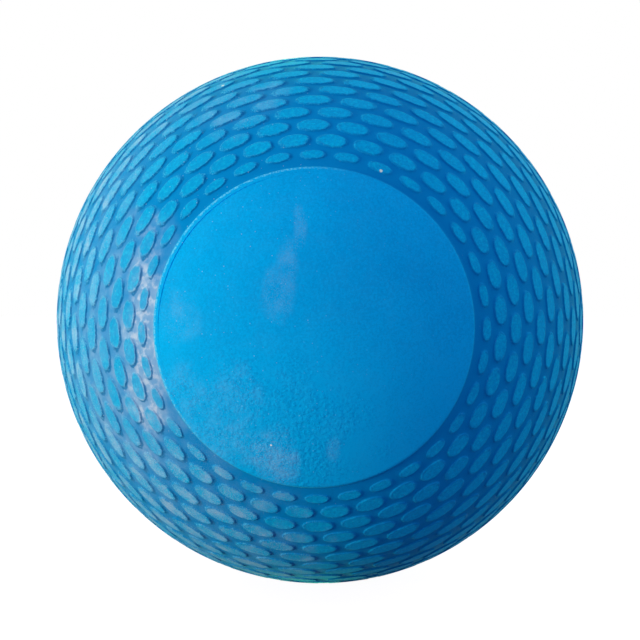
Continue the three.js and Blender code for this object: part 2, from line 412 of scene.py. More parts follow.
core = turned(
    "valve_plug",
    core_outline
    + [
        (CORE_SHANK_RADIUS, head_underside_y),
        (CORE_HEAD_RADIUS, head_underside_y),
        (CORE_HEAD_RADIUS, LIP_Y - CORE_HEAD_ROUND),
        (CORE_HEAD_RADIUS - CORE_HEAD_CORNER, LIP_Y - CORE_HEAD_CORNER),
        (CORE_HEAD_RADIUS - CORE_HEAD_ROUND, LIP_Y),
        (NEEDLE_HOLE_RADIUS + NEEDLE_LEAD_IN, LIP_Y),
        (NEEDLE_HOLE_RADIUS, LIP_Y - NEEDLE_LEAD_IN),
        (NEEDLE_HOLE_RADIUS, LIP_Y - NEEDLE_HOLE_DEPTH),
        (AXIS_RADIUS, LIP_Y - NEEDLE_HOLE_DEPTH),
    ],
)
core.data.materials.append(core_rubber.owner)
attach(core, "core")
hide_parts("valve_core")

# Winding
# Nylon thread wound round the bladder in every direction and set in latex, which keeps the ball round
# and stops the bladder from swelling. The cover is moulded over it.
WINDING_RADIUS = -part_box("winding")[0].y
WINDING_WALL = 0.0004
THREAD_PITCH_MM = 0.9
THREAD_WANDER = 0.4
# How each lay of thread is turned, in radians
THREAD_LAYS = ((0.2, 0.5, 0.1), (1.3, -0.4, 0.9), (-0.7, 1.1, 2.0))
# The pitch of a wave texture whose scale is 1
WAVE_PITCH = 0.314
LAY_PATCH_MM = 14
LAY_ENDS = (0.48, 0.54)
LATEX_PATCH_MM = 9
LATEX_ENDS = (0.45, 0.7)
THREAD_CREAM = (0.68, 0.65, 0.55, 1)
THREAD_SHADOW = (0.33, 0.30, 0.23, 1)
LATEX_AMBER = (0.52, 0.43, 0.26, 1)
LATEX_SHARE = 0.5
THREAD_ROUGHNESS = 0.75
LATEX_SMOOTHING = 0.3
THREAD_BUMP = 0.8

thread = new_finish("wound_thread")
thread_place = thread.place()
strands = None
for lay_turn in THREAD_LAYS:
    laid = thread.node("ShaderNodeMapping", {}, {"Vector": thread_place, "Rotation": lay_turn})
    bands = {"Vector": laid, "Scale": WAVE_PITCH / THREAD_PITCH_MM, "Distortion": THREAD_WANDER}
    wave = thread.node("ShaderNodeTexWave", {"wave_type": "BANDS", "bands_direction": "X"}, bands, "Fac")
    on_top = thread.patches(laid, LAY_PATCH_MM, LAY_ENDS)
    strands = wave if strands is None else strands + (wave - strands) * on_top
latex = thread.patches(thread_place, LATEX_PATCH_MM, LATEX_ENDS, BROKEN_DETAIL) * LATEX_SHARE
strand_colour = thread.blend(strands, THREAD_SHADOW, THREAD_CREAM)
thread.surface(
    Base_Color=thread.blend(latex, strand_colour, LATEX_AMBER),
    Roughness=THREAD_ROUGHNESS - latex * LATEX_SMOOTHING,
    Normal=thread.bump(strands, THREAD_BUMP),
)

winding = layer_shell("thread_layer", WINDING_RADIUS, WINDING_WALL)
winding.data.materials.append(thread.owner)
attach(winding, "ball")
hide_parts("winding")

# Cover halves
# Satin blue rubber, pressed in a two-part mould over the winding: each half has a smooth round panel at
# its pole, 15 staggered rows of raised oval pebbles for grip, and a line of flash at the parting.
BALL_RADIUS = -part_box("front_cover")[0].y
# How far the grooves lie below the panel; each profile gives shares of it
GROOVE_DEPTH = 0.00065
GROOVE_RADIUS = BALL_RADIUS - GROOVE_DEPTH
COVER_WALL = 0.00115
COVER_INNER_RADIUS = GROOVE_RADIUS - COVER_WALL
COVER_INNER_RINGS = 12
PANEL_RADIUS = 0.055
PANEL_RIM_RUN = 0.0015
PEBBLES_PER_ROW = 32
ROWS_PER_HALF = 15
CELL_STEPS = 4
PANEL_RINGS = 32
FLASH_HEIGHT = 0.0002
PARTING_GAP = 0.0003
LENGTH_SHARE = 0.785
WIDTH_SHARE = 0.78
FIRST_ROW_LENGTH = 0.9
FIRST_ROW_WIDTH = 0.66
FIRST_ROW_HEIGHT = 0.9
FIRST_ROW_OUTWARD = 0.08
OVAL_POWER = 2.25
INSET_START = 0.00002
# The mould is worn, so no two pebbles have quite the same outline: how uneven it is, how many bumps it has,
# and how far apart neighbours are in the noise that gives them
UNEVEN_SHARE = 0.075
UNEVEN_BUMPS = 1.3
UNEVEN_SPREAD = 60
# Each ring of a pebble, from its foot up: how far it stands out from the oval at the ends and at the
# sides, and its share of the height
PEBBLE_PROFILE = (
    (0.00050, 0.00034, 0.0),
    (0.00020, 0.00014, 0.36),
    (0.0, 0.0, 0.66),
    (-0.00040, -0.00030, 0.78),
)
# Each ring of the panel's rim, from its foot in: how far in it is, its share of the height, and how far
# the mould's fine line, on one side only, is cut below it
RIM_PROFILE = (
    (0.0, 0.0, 0.0),
    (0.00060, 0.03, 0.0),
    (0.00105, 0.45, 0.0),
    (0.00140, 0.85, 0.0),
    (0.00175, 1.0, 0.0),
    (0.00225, 1.04, 0.0),
    (0.00330, 1.02, 0.0),
    (0.00342, 1.0, 0.43),
    (0.00362, 1.0, 0.43),
    (0.00376, 1.0, 0.0),
)
MOULD_LINE_TURN = math.radians(142)
MOULD_LINE_FADE = 3
# The columns of the mould are cut a little off its middle, so they are spread unevenly round the ball
COLUMN_SHIFT = math.radians(0.71)
COLUMN_WANDER = math.radians(1.24)
COLUMN_WANDER_TURN = math.radians(199)
# The fine ring that the mould's valve pin leaves in the rear panel: how far out from the mouth each of its
# rings is, and the share of the height that is cut away
PIN_RING_PROFILE = (
    (0.0, 0.0),
    (0.0030, 0.0),
    (0.0033, 0.38),
    (0.0039, 0.38),
    (0.0042, 0.0),
)

segments = PEBBLES_PER_ROW * CELL_STEPS
rings_per_half = PANEL_RINGS + ROWS_PER_HALF * CELL_STEPS
turn_step = 2 * math.pi / segments
polar_step = math.pi / 2 / rings_per_half
panel_rim_polar = math.asin(PANEL_RADIUS / BALL_RADIUS)
foot_polar = panel_rim_polar + PANEL_RIM_RUN / BALL_RADIUS
row_polar = (math.pi / 2 - foot_polar) / ROWS_PER_HALF


def pick(piece, kind, wanted):
    """Selects those vertices, edges or faces of the open piece that pass a test, and nothing else."""
    bpy.ops.mesh.select_mode(type=kind)
    bpy.ops.mesh.select_all(action="DESELECT")
    mesh = bmesh.from_edit_mesh(piece.data)
    for part in {"VERT": mesh.verts, "EDGE": mesh.edges, "FACE": mesh.faces}[kind]:
        if wanted(part):
            part.select_set(True)
    bmesh.update_edit_mesh(piece.data)


def on_ball(side, polar, turn, radius):
    """The point at an angle from one half's pole and round the valve's axis."""
    reach = radius * math.sin(polar)
    return Vector((reach * math.cos(turn), side * radius * math.cos(polar), reach * math.sin(turn)))


def polar_and_turn(side, point):
    return math.acos(max(-1, min(1, side * point.y / point.length))), math.atan2(point.z, point.x)


def ring_and_step(side, point):
    """Counts a point of the first sphere's grid in rings from the pole and steps round the axis."""
    polar, turn = polar_and_turn(side, point)
    return round(polar / polar_step), round(turn / turn_step) % segments


def ring_place(ring, turn, mouth_polar):
    """Angle from the pole and radius of a point of the finished cover's rings, before its pebbles rise."""
    if ring == rings_per_half:
        radius = GROOVE_RADIUS + FLASH_HEIGHT
        return math.acos(PARTING_GAP / 2 / radius), radius
    if ring >= PANEL_RINGS:
        return foot_polar + row_polar * (ring - PANEL_RINGS) / CELL_STEPS, GROOVE_RADIUS
    rings_in = PANEL_RINGS - ring
    if rings_in < len(RIM_PROFILE):
        inward, share, cut = RIM_PROFILE[rings_in]
        share -= cut * max(0, math.cos(turn - MOULD_LINE_TURN)) ** MOULD_LINE_FADE
        return foot_polar - inward / BALL_RADIUS, GROOVE_RADIUS + GROOVE_DEPTH * share
    first_ring, first_polar = 0, 0
    if mouth_polar:
        if ring <= len(PIN_RING_PROFILE):
            outward, cut = PIN_RING_PROFILE[max(0, ring - 1)]
            return mouth_polar + outward / BALL_RADIUS, BALL_RADIUS - GROOVE_DEPTH * cut
        first_ring = len(PIN_RING_PROFILE)
        first_polar = mouth_polar + PIN_RING_PROFILE[-1][0] / BALL_RADIUS
    flat_edge = foot_polar - RIM_PROFILE[-1][0] / BALL_RADIUS
    share = (ring - first_ring) / (PANEL_RINGS - len(RIM_PROFILE) + 1 - first_ring)
    return first_polar + (flat_edge - first_polar) * share, BALL_RADIUS


def shape_pebbles(piece, side, stagger, last_ring, ring):
    """Puts the outline of each selected face on a ring of its pebble's profile."""
    end_outset, side_outset, height_share = ring
    mesh = bmesh.from_edit_mesh(piece.data)
    for face in mesh.faces:
        if not face.select:
            continue
        middle_polar, middle_turn = polar_and_turn(side, face.calc_center_median())
        row = int((middle_polar - foot_polar) / row_polar)
        middle_polar = foot_polar + row_polar * (row + 0.5 + (FIRST_ROW_OUTWARD if row == 0 else 0))
        half_cell = (stagger + row) % 2 * CELL_STEPS / 2
        column = round((middle_turn / turn_step - half_cell) / CELL_STEPS)
        middle_turn = (column * CELL_STEPS + half_cell) * turn_step
        noise_place = on_ball(side, middle_polar, middle_turn, UNEVEN_SPREAD)
        reach = BALL_RADIUS * math.sin(middle_polar)
        cell_length = reach * turn_step * CELL_STEPS
        cell_width = BALL_RADIUS * row_polar
        half_length = cell_length * LENGTH_SHARE * (FIRST_ROW_LENGTH if row == 0 else 1) / 2
        half_width = cell_width * WIDTH_SHARE * (FIRST_ROW_WIDTH if row == 0 else 1) / 2
        height = GROOVE_DEPTH * height_share * (FIRST_ROW_HEIGHT if row == 0 else 1)
        if last_ring is None:
            last_length, last_width = cell_length / 2, cell_width / 2
        else:
            last_length, last_width = half_length + last_ring[0], half_width + last_ring[1]
        for point in face.verts:
            polar, turn = polar_and_turn(side, point.co)
            along = math.remainder(turn - middle_turn, 2 * math.pi) * reach / last_length
            across = (polar - middle_polar) * BALL_RADIUS / last_width
            angle = math.atan2(across, along)
            lengths = abs(math.cos(angle)) ** OVAL_POWER + abs(math.sin(angle)) ** OVAL_POWER
            bump_place = Vector((math.cos(angle), math.sin(angle), 0)) * UNEVEN_BUMPS
            uneven = 1 + UNEVEN_SHARE * noise.noise(noise_place + bump_place)
            oval = uneven * lengths ** (-1 / OVAL_POWER)
            new_turn = middle_turn + (half_length + end_outset) * oval * math.cos(angle) / reach
            new_polar = middle_polar + (half_width + side_outset) * oval * math.sin(angle) / BALL_RADIUS
            point.co = on_ball(side, new_polar, new_turn, GROOVE_RADIUS + height)
    bmesh.update_edit_mesh(piece.data)


def half_cover(name, side, stagger, mouth_radius):
    """One half, on the side of -Y or +Y; stagger 1 moves its rows on by half a pebble."""
    mouth_polar = math.asin(mouth_radius / BALL_RADIUS)

    def inside_pebble(edge):
        (ring_a, step_a), (ring_b, _) = (ring_and_step(side, end.co) for end in edge.verts)
        ring = min(ring_a, ring_b) - PANEL_RINGS
        if ring < 0:
            return False
        if ring_a == ring_b:
            return ring % CELL_STEPS != 0
        half_cells = 1 + stagger + ring // CELL_STEPS
        return (step_a - half_cells * CELL_STEPS // 2) % CELL_STEPS != 0

    # A half sphere with one large face for each pebble
    piece = add_sphere(name, GROOVE_RADIUS, segments, 2 * rings_per_half)
    pick(piece, "VERT", lambda point: ring_and_step(side, point.co)[0] > rings_per_half)
    bpy.ops.mesh.delete(type="VERT")
    if mouth_radius:
        pick(piece, "VERT", lambda point: ring_and_step(side, point.co)[0] == 0)
        bpy.ops.mesh.delete(type="VERT")
    pick(piece, "EDGE", inside_pebble)
    bpy.ops.mesh.dissolve_edges(use_verts=False)

    # Its rings move to their places on the panel, the rim and the rows
    mesh = bmesh.from_edit_mesh(piece.data)
    for point in mesh.verts:
        turn = polar_and_turn(side, point.co)[1]
        polar, radius = ring_place(ring_and_step(side, point.co)[0], turn, mouth_polar)
        point.co = on_ball(side, polar, turn, radius)
    bmesh.update_edit_mesh(piece.data)

    # The pebbles rise from the large faces, ring by ring
    pick(piece, "FACE", lambda face: len(face.verts) > CELL_STEPS)
    last_ring = None
    for ring in PEBBLE_PROFILE:
        bpy.ops.mesh.inset(thickness=INSET_START, use_individual=True)
        shape_pebbles(piece, side, stagger, last_ring, ring)
        last_ring = ring

    # The inner side of the wall is drawn from the parting to the mouth, or closed at the pole
    pick(piece, "EDGE", lambda edge: edge.is_boundary and abs(edge.verts[0].co.y) < PARTING_GAP)
    inner_rim = math.acos(PARTING_GAP / 2 / COVER_INNER_RADIUS)
    inner_mouth = math.asin(max(mouth_radius, AXIS_RADIUS) / COVER_INNER_RADIUS)
    for ring in range(COVER_INNER_RINGS + 1):
        polar = inner_rim + (inner_mouth - inner_rim) * ring / COVER_INNER_RINGS
        place = on_ball(side, polar, 0, COVER_INNER_RADIUS)
        draw_ring(piece, place.x, place.y)
    if mouth_radius:
        place = on_ball(side, mouth_polar, 0, BALL_RADIUS)
        draw_ring(piece, place.x, place.y)
    else:
        bpy.ops.mesh.merge(type="CENTER")

    # The columns shift as the mould's do
    mesh = bmesh.from_edit_mesh(piece.data)
    for point in mesh.verts:
        reach = math.hypot(point.co.x, point.co.z)
        turn = math.atan2(point.co.z, point.co.x)
        turn += COLUMN_SHIFT + COLUMN_WANDER * math.cos(turn - COLUMN_WANDER_TURN)
        point.co = (reach * math.cos(turn), point.co.y, reach * math.sin(turn))
    bmesh.update_edit_mesh(piece.data)
    close_piece(piece)
    bpy.ops.object.modifier_add(type="WEIGHTED_NORMAL")
    piece.modifiers[-1].keep_sharp = True
    bpy.ops.object.modifier_apply(modifier=piece.modifiers[-1].name)
    return piece


PANEL_BLUE = (0.0008, 0.47, 0.97, 1)
PANEL_SHADE = (0.0006, 0.365, 0.82, 1)
PEBBLE_BLUE = (0.0008, 0.46, 0.88, 1)
PEBBLE_SHADE = (0.0006, 0.335, 0.72, 1)
GROOVE_BLUE = (0.0004, 0.25, 0.63, 1)
# Painted shade for the grooves towards the parting
GROOVE_PAINTED_SHADE = (0.0004, 0.205, 0.52, 1)
# Painted shadow beside the pebbles
LEE_SHADOW_BLUE = (0.0004, 0.165, 0.44, 1)
# Pale edges of the pebbles: powder and a painted highlight
EDGE_HIGHLIGHT_PALE = (0.10, 0.66, 0.92, 1)
RUBBED_TEAL = (0.006, 0.68, 0.94, 1)
# Powder, and a painted sheen of grazing light
BLOOM_AND_SHEEN_PALE = (0.50, 0.64, 0.83, 1)
DUST_LAVENDER = (0.52, 0.66, 0.84, 1)
WISP_WHITE = (0.72, 0.78, 0.92, 1)
# The worn rim, with a painted highlight
WORN_RIM_HIGHLIGHT_PALE = (0.25, 0.75, 0.95, 1)
CHIP_WHITE = (0.85, 0.88, 0.85, 1)
# Patches that darken the rubber: their size in millimetres, the noise at which a patch starts and is full,
# and how much it darkens; the rubber between them is a middle shade
CLOUD_MM = 30
CLOUD_ENDS = (0.35, 0.65)
CLOUD_SHADE = 0.3
GRAIN_MM = 0.9
GRAIN_ENDS = (0.4, 0.6)
GRAIN_SHADE = 0.45
FINE_MM = 0.5
FINE_ENDS = (0.4, 0.6)
FINE_SHADE = 0.4
MIDDLE_SHADE = 0.42
# Painted light: the low part of the panel is painted lighter. Where that starts and is full, in millimetres
# up from the middle, and how much
LOW_PANEL = (20, -35)
LOW_PANEL_PAINTED_LIGHT = 0.62
# In the same way as the patches, the speckle and the film that the powder is made of
SPECKLE_MM = 0.45
SPECKLE_ENDS = (0.42, 0.72)
FILM_MM = 7
FILM_ENDS = (0.35, 0.75)
# Powdery and dusty places have ragged edges, and those on the front half fade out towards the parting, over
# this many millimetres
RAGGED_MM = 12
RAGGED_DETAIL = 5
RAGGED_SHARE = 3.2
RAGGED_TURN = 0.05
OVAL_EDGE = (1.6, 0)
FRONT_EDGE = (0, -20)
# The colour of the pebbles wanders a little at their edge: where it starts and is full, from the edge in
EDGE_WANDER_MM = 2.2
EDGE_WANDER = 0.6
TOP_EDGE = (1.04, 0.77)
# The rings of the rim's profile at which the panel's colour starts and is full
RIM_COLOUR_RINGS = (1, 4)
# Powder, which on the rows is also a painted sheen of grazing light: its share on the pebbles where it is
# thickest, the least on any pebble and what lies in the grooves, both against that, and the share on the
# panel
TOP_BLOOM = 0.38
LEAST_BLOOM = 0.012
GROOVE_BLOOM = 0.22
PANEL_FILM = 0.006
# The lit, dusty left side, where the painted shadows and highlights lie: where it starts and is full, in
# millimetres across
LIT_DUSTY_SIDE = (25, -35)
# The pale edges of the pebbles, partly powder and partly a painted highlight on the lit side: where they
# start, are full, start to fade and end, from the pebble's middle out, their share, and the least of it on
# the clean side
EDGE_OUT = (0.76, 0.96, 1.02, 1.15)
EDGE_BLOOM = 0.4
LEAST_EDGE = 0.25
# Spots on the pebbles that use has rubbed to a lighter colour
RUB_MM = 1.2
RUB_ENDS = (0.48, 0.68)
RUB_SHARE = 0.28
# The side that the powder and a painted sheen lie on, how far round towards it they start and are full, and
# how far from the pole the thin powder and painted sheen by the parting start and are full
BLOOM_AND_SHEEN_SIDE = (-0.69, 0.71, 0.10)
BLOOM_START = -0.1
BLOOM_FULL = 0.2
PARTING_START = math.radians(62)
PARTING_FULL = math.radians(80)
PARTING_SHARE = 0.38
# On the left, a painted shadow lies on the far side of each pebble from the light at the upper left, and no
# dust lies on it: the way the light goes, across and up, how far round each pebble the shadow starts and is
# full, and where it starts, is full, starts to fade and ends, from the pebble's middle out
LEE_WAY = (0.77, -0.64)
LEE_SIDE = (0.1, 0.7)
LEE_OUT = (0.92, 1.04, 1.12, 1.27)
LEE_SHADOW_SHARE = 0.8
# Painted shade in the grooves: how far from the pole it starts and is darkest
GROOVE_SHADE_START = math.radians(40)
GROOVE_SHADE_FULL = math.radians(65)
# Powdery marks on the front panel: middle across and up, half size across and up, in millimetres, and share
PANEL_MARKS = (
    (-4.5, 35, 2.2, 7, 0.10),
    (-8.5, 24, 3.6, 8, 0.11),
    (-12, 12, 5.5, 9, 0.11),
    (-13, -45, 7, 13, 0.20),
    (-24, -40, 12, 9, 0.06),
    (7, -41, 2.5, 4, 0.07),
    (-45, 4, 7, 9, 0.07),
    (-36, -27, 20, 15, 0.06),
)
# In the same way, where more powder and painted sheen lie on the pebbles
POWDER_AND_SHEEN_PLACES = (
    (-56, -64, 42, 30, 1.08),
    (-34, -92, 36, 22, 1.1),
    (-32, 80, 22, 13, 0.38),
)
# Dust in the grooves beside the panel: its place, the size of its drifts, its share between them, how much
# they add to it, and how much of it stays on the pebbles
DUST_PLACE = (-64, -10, 23, 44)
DUST_MM = 4.5
DUST_ENDS = (0.35, 0.7)
DUST_SHARE = 0.12
DUST_DRIFT = 0.18
DUST_ON_TOPS = 0.2
# Where the dust is whitest: its place, the size of its wisps, and the share of the wisps and of the haze
# between them
WISP_PLACE = (-58.5, -4, 8, 36)
WISP_MM = 2.6
WISP_ENDS = (0.46, 0.66)
WISP_SHARE = 0.42
WISP_HAZE = 0.16
# Where the panel's grain is coarser and creased, like leather
LEATHER_PLACE = (-23, -36, 40, 25)
LEATHER_BUMP = 2.0
LEATHER_SHADE = 1.6
CREASE_MM = 1.6
CREASE_ENDS = (0.38, 0.62)
CREASE_SHADE = 0.5
CREASE_BUMP = 3.5
# The worn crest of the panel's rim, with a painted highlight where the light falls on it: the direction it
# lies in, how far that way it starts and is full, in panel radii, and where it starts, is full, starts to
# fade and ends, in millimetres from the foot
WORN_RIM_TURN = math.radians(155)
WORN_RIM_SIDE = (0.15, 0.6)
WORN_RIM = (1.1, 1.5, 1.8, 2.4)
WORN_RIM_MM = 0.8
WORN_RIM_ENDS = (0.4, 0.62)
WORN_RIM_AND_HIGHLIGHT_SHARE = 0.55
# The rubber outside the panel is darker on that side: in the same way, how far over it starts to be and is
# darkest, and how much
SIDE_SHADE_ENDS = (0.3, 1.0)
SIDE_SHADE = 0.4
# Chips in the surface: middle across and up, and size, in millimetres
CHIPS = (
    (-35.8, 90.5, 0.8),
    (23.2, 54, 0.7),
    (-14.2, -39.6, 0.45),
)
CHIP_EDGE = (1, 0.55)
# Pale specks: how far apart, how large against that at their edge and at their full colour, how many, and
# where across they are more frequent
SPECK_MM = 1.5
SPECK_SIZE_SHARE = 0.16
SPECK_FULL_SHARE = SPECK_SIZE_SHARE / 3
SPECK_COUNT_SHARE = 0.4
SPECK_SHARE = 0.3
SPECK_SIDE = (20, -30)
LEAST_SPECK = 0.2
COVER_ROUGHNESS = 0.55
COVER_ROUGHNESS_SPREAD = 0.15
COVER_SPECULAR = 0.015
COVER_SPECULAR_TINT = (0.1, 0.8, 1.0, 1)
COVER_SHEEN = 0.46
COVER_SHEEN_ROUGHNESS = 0.3
COVER_SHEEN_TINT = (0.08, 0.95, 0.77, 1)
COVER_BUMP = 0.4

cover_rubber = new_finish("moulded_blue_rubber")
cover_place = cover_rubber.place()
across, towards_back, up = (
    cover_rubber.node("ShaderNodeSeparateXYZ", {}, {0: cover_place}, axis) for axis in range(3)
)
front = cover_rubber.band(towards_back, *FRONT_EDGE)
direction = cover_rubber.node("ShaderNodeVectorMath", {"operation": "NORMALIZE"}, {0: cover_place})
ragged = (cover_rubber.noise(cover_place, RAGGED_MM, RAGGED_DETAIL) - 0.5) * RAGGED_SHARE


def ragged_oval(middle_across, middle_up, half_across, half_up):
    """1 inside an oval place on the front half and 0 outside it, with a ragged edge."""
    from_side = (across - middle_across) / half_across
    from_below = (up - middle_up) / half_up
    return cover_rubber.band(from_side * from_side + from_below * from_below + ragged, *OVAL_EDGE) * front


def ridge(value, start, full, fade, end):
    """0 up to start, 1 from full to fade and 0 again from end, smooth between them."""
    return cover_rubber.band(value, start, full) * cover_rubber.band(value, end, fade)


def chip(middle_across, middle_up, size):
    """1 inside a round chip in the front half and 0 outside it."""
    depth = math.sqrt((BALL_RADIUS * MM_PER_M) ** 2 - middle_across**2 - middle_up**2)
    ends = {0: direction, 1: Vector((middle_across, -depth, middle_up)).normalized()}
    distance = cover_rubber.node("ShaderNodeVectorMath", {"operation": "DISTANCE"}, ends, "Value")
    return cover_rubber.band(distance * (BALL_RADIUS * MM_PER_M / size), *CHIP_EDGE)


# The rows and columns of pebbles, and how far a point is from the middle of its pebble, where 1 is the edge
from_centre = cover_rubber.node("ShaderNodeVectorMath", {"operation": "LENGTH"}, {0: cover_place}, "Value")
towards_pole = abs(towards_back) / from_centre
polar_angle = towards_pole.maths("ARCCOSINE", towards_pole)
rows = (polar_angle - foot_polar) / row_polar
row_number = rows.maths("FLOOR", rows)
first_row = row_number.maths("LESS_THAN", row_number, 0.5)
on_rear = towards_back.maths("GREATER_THAN", towards_back, 0)
half_on = row_number.maths("FLOORED_MODULO", row_number + on_rear, 2) / 2
turn_angle = up.maths("ARCTAN2", up, across)
turn_angle = turn_angle - turn_angle.maths("COSINE", turn_angle - COLUMN_WANDER_TURN) * COLUMN_WANDER
columns = (turn_angle - COLUMN_SHIFT) / (turn_step * CELL_STEPS) - half_on
along_pebble = (columns.maths("FRACT", columns + 0.5) - 0.5) * 2 / LENGTH_SHARE
along_pebble = along_pebble * (1 + first_row * (1 / FIRST_ROW_LENGTH - 1))
across_pebble = (rows - row_number - 0.5 - first_row * FIRST_ROW_OUTWARD) * 2 / WIDTH_SHARE
across_pebble = across_pebble * (1 + first_row * (1 / FIRST_ROW_WIDTH - 1))
oval_sum = along_pebble.maths("POWER", abs(along_pebble), OVAL_POWER)
oval_sum = oval_sum + across_pebble.maths("POWER", abs(across_pebble), OVAL_POWER)
from_middle = oval_sum.maths("POWER", oval_sum, 1 / OVAL_POWER)
edge_wander = cover_rubber.noise(cover_place, EDGE_WANDER_MM, BROKEN_DETAIL) - 0.5
from_middle = from_middle + edge_wander * EDGE_WANDER

# What stands up, the painted shadows beside the pebbles, and their pale edges
rim_foot, rim_crest = (foot_polar - RIM_PROFILE[ring][0] / BALL_RADIUS for ring in RIM_COLOUR_RINGS)
panel_share = cover_rubber.band(towards_pole, math.cos(rim_foot), math.cos(rim_crest))
pebble_top = cover_rubber.band(from_middle, *TOP_EDGE)
raised = pebble_top.maths("MAXIMUM", pebble_top * (1 - panel_share), panel_share)
lit_dusty_side = cover_rubber.band(across, *LIT_DUSTY_SIDE)
from_axis = up.maths("SQRT", across * across + up * up)
lee_outward = (across * LEE_WAY[0] + up * LEE_WAY[1]) / from_axis
lee_sideways = (across * LEE_WAY[1] - up * LEE_WAY[0]) / from_axis
# A painted shadow on the side of each pebble away from the light, on the left, where no dust lies
lee_shadow = cover_rubber.band(across_pebble * lee_outward + along_pebble * lee_sideways, *LEE_SIDE)
lee_shadow = lee_shadow * ridge(from_middle, *LEE_OUT) * (1 - panel_share) * lit_dusty_side * LEE_SHADOW_SHARE
# Pale edges: powder and a painted highlight on the lit side
edge = ridge(from_middle, *EDGE_OUT) * (1 - panel_share) * (lit_dusty_side + LEAST_EDGE) * (1 - lee_shadow)

# Patches
rubbed = cover_rubber.patches(cover_place, RUB_MM, RUB_ENDS, BROKEN_DETAIL) * pebble_top * (1 - panel_share)
cloud = cover_rubber.patches(cover_place, CLOUD_MM, CLOUD_ENDS)
grain = cover_rubber.noise(cover_place, GRAIN_MM, FINE_DETAIL)
mottle = cover_rubber.band(grain, *GRAIN_ENDS)
fine = cover_rubber.patches(cover_place, FINE_MM, FINE_ENDS)
speckle = cover_rubber.patches(cover_place, SPECKLE_MM, SPECKLE_ENDS, FINE_DETAIL)
film = cover_rubber.patches(cover_place, FILM_MM, FILM_ENDS, BROKEN_DETAIL)

# Powder on the rows and on the panel, with a painted sheen on the rows
side_vectors = {0: cover_place, 1: BLOOM_AND_SHEEN_SIDE}
towards_side = cover_rubber.node("ShaderNodeVectorMath", {"operation": "DOT_PRODUCT"}, side_vectors, "Value")
towards_side = towards_side / from_centre + ragged * RAGGED_TURN
powder_and_sheen_side = cover_rubber.band(towards_side, BLOOM_START, BLOOM_FULL)
for *powder_and_sheen_place, powder_and_sheen_share in POWDER_AND_SHEEN_PLACES:
    powder_and_sheen_side = powder_and_sheen_side.maths("MAXIMUM", powder_and_sheen_side, ragged_oval(*powder_and_sheen_place) * powder_and_sheen_share)
# Powder and a painted sheen by the parting
powder_and_sheen_by_parting = cover_rubber.band(towards_pole, math.cos(PARTING_START), math.cos(PARTING_FULL)) * PARTING_SHARE
powder_and_sheen_top = powder_and_sheen_side + powder_and_sheen_by_parting + LEAST_BLOOM
row_powder_and_sheen = (powder_and_sheen_top * raised + powder_and_sheen_side * GROOVE_BLOOM * (1 - raised)) * TOP_BLOOM
panel_bloom = PANEL_FILM
for *mark_place, mark_share in PANEL_MARKS:
    panel_bloom = ragged_oval(*mark_place) * mark_share + panel_bloom
powder_and_sheen = (speckle + film) * (row_powder_and_sheen + (panel_bloom - row_powder_and_sheen) * panel_share)

# Dust in the grooves
settles = (1 - panel_share) * (1 - lee_shadow) * (1 - raised * (1 - DUST_ON_TOPS))
drift = cover_rubber.patches(cover_place, DUST_MM, DUST_ENDS, BROKEN_DETAIL)
dust = ragged_oval(*DUST_PLACE) * settles * (drift * DUST_DRIFT + DUST_SHARE)
wisp = cover_rubber.patches(cover_place, WISP_MM, WISP_ENDS, FINE_DETAIL)
wisp = (wisp * WISP_SHARE + WISP_HAZE) * ragged_oval(*WISP_PLACE) * settles

# The worn rim, with a painted highlight
in_from_foot = (foot_polar - polar_angle) * (BALL_RADIUS * MM_PER_M)
worn_side = (across * math.cos(WORN_RIM_TURN) + up * math.sin(WORN_RIM_TURN)) / (PANEL_RADIUS * MM_PER_M)
worn_rim_and_highlight = ridge(in_from_foot, *WORN_RIM) * cover_rubber.band(worn_side, *WORN_RIM_SIDE) * front
worn_rim_and_highlight = worn_rim_and_highlight * cover_rubber.patches(cover_place, WORN_RIM_MM, WORN_RIM_ENDS, BROKEN_DETAIL) * WORN_RIM_AND_HIGHLIGHT_SHARE

# Specks and chips
cells = {"Vector": cover_place, "Scale": 1 / SPECK_MM}
speck_distance = cover_rubber.node("ShaderNodeTexVoronoi", {}, cells, "Distance")
speck_colour = cover_rubber.node("ShaderNodeTexVoronoi", {}, cells, "Color")
speck_chance = cover_rubber.node("ShaderNodeSeparateColor", {}, {0: speck_colour})
speck = cover_rubber.band(speck_distance, SPECK_SIZE_SHARE, SPECK_FULL_SHARE)
speck = speck * cover_rubber.band(speck_chance, SPECK_COUNT_SHARE, 0) * SPECK_SHARE
speck = speck * (cover_rubber.band(across, *SPECK_SIDE) + LEAST_SPECK)
for chip_place in CHIPS:
    speck = speck + chip(*chip_place)

# The rubber itself, and all that lies on it
leather = ragged_oval(*LEATHER_PLACE) * panel_share
creases = cover_rubber.patches(cover_place, CREASE_MM, CREASE_ENDS, BROKEN_DETAIL)
shade = ((mottle - 0.5) * GRAIN_SHADE + (fine - 0.5) * FINE_SHADE) * (leather * LEATHER_SHADE + 1)
shade = shade + leather * (creases - 0.5) * CREASE_SHADE + cloud * CLOUD_SHADE + MIDDLE_SHADE
shade = shade + cover_rubber.band(worn_side, *SIDE_SHADE_ENDS) * (1 - panel_share) * SIDE_SHADE
# Painted light: the low part of the panel is painted lighter
shade = shade - cover_rubber.band(up, *LOW_PANEL) * panel_share * LOW_PANEL_PAINTED_LIGHT
# Painted shade in the grooves towards the parting
painted_groove_shade = cover_rubber.band(towards_pole, math.cos(GROOVE_SHADE_START), math.cos(GROOVE_SHADE_FULL)) * (1 - powder_and_sheen_side)
groove_colour = cover_rubber.blend(painted_groove_shade, GROOVE_BLUE, GROOVE_PAINTED_SHADE)
